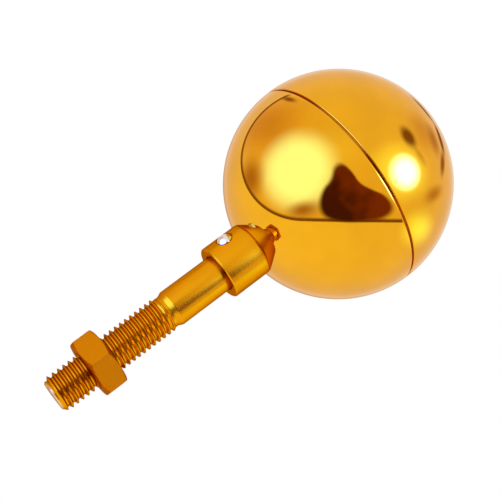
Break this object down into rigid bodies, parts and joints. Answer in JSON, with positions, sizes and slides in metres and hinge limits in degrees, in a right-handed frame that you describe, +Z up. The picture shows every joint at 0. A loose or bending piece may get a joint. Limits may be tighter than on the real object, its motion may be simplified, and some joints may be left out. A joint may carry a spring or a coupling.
{
  "type": "ball finial",
  "caption": "Hollow spun ball on a threaded spindle with a collar and jam nut, screwed into the top of a pole as its finial.",
  "frame": {"origin": "on the spindle's axis, at the jam nut's lower face, where the finial seats on the pole", "axes": "+Z up along the spindle to the ball; the rivet's head faces -Y"},
  "size_m": [0.0762, 0.0762, 0.1531],
  "materials": {
    "gold_mirror": "mirror-bright gold anodised, spun and polished",
    "gold_satin": "gold anodised, fine turned",
    "gold_nut": "gold anodised, satin",
    "rivet_silver": "plain bright aluminium",
    "plated_steel": "zinc plated"
  },
  "bodies": {
    "finial": {"upper_shell": "gold_mirror", "lower_shell": "gold_mirror", "collar": "gold_satin", "cross_rivet": "rivet_silver", "spindle": "gold_satin", "saddle_plate": "plated_steel", "spring_washer": "plated_steel", "stud_nut": "plated_steel"},
    "nut_carrier": {"plain_washer": "plated_steel"},
    "jam_nut": {"hex_nut": "gold_nut"}
  },
  "joints": [
    {"name": "nut_turn", "type": "hinge", "parent": "finial", "child": "nut_carrier", "pos_m": [0, 0, 0], "axis": [0, 0, 1], "range_deg": [-3600, 2160]},
    {"name": "nut_travel", "type": "slide", "parent": "nut_carrier", "child": "jam_nut", "axis": [0, 0, 1], "range_m": [-0.01172, 0.01954]}
  ],
  "couplings": [
    {"joint": "nut_travel", "follows": "nut_turn", "m_per_rad": -0.00031096}
  ]
}
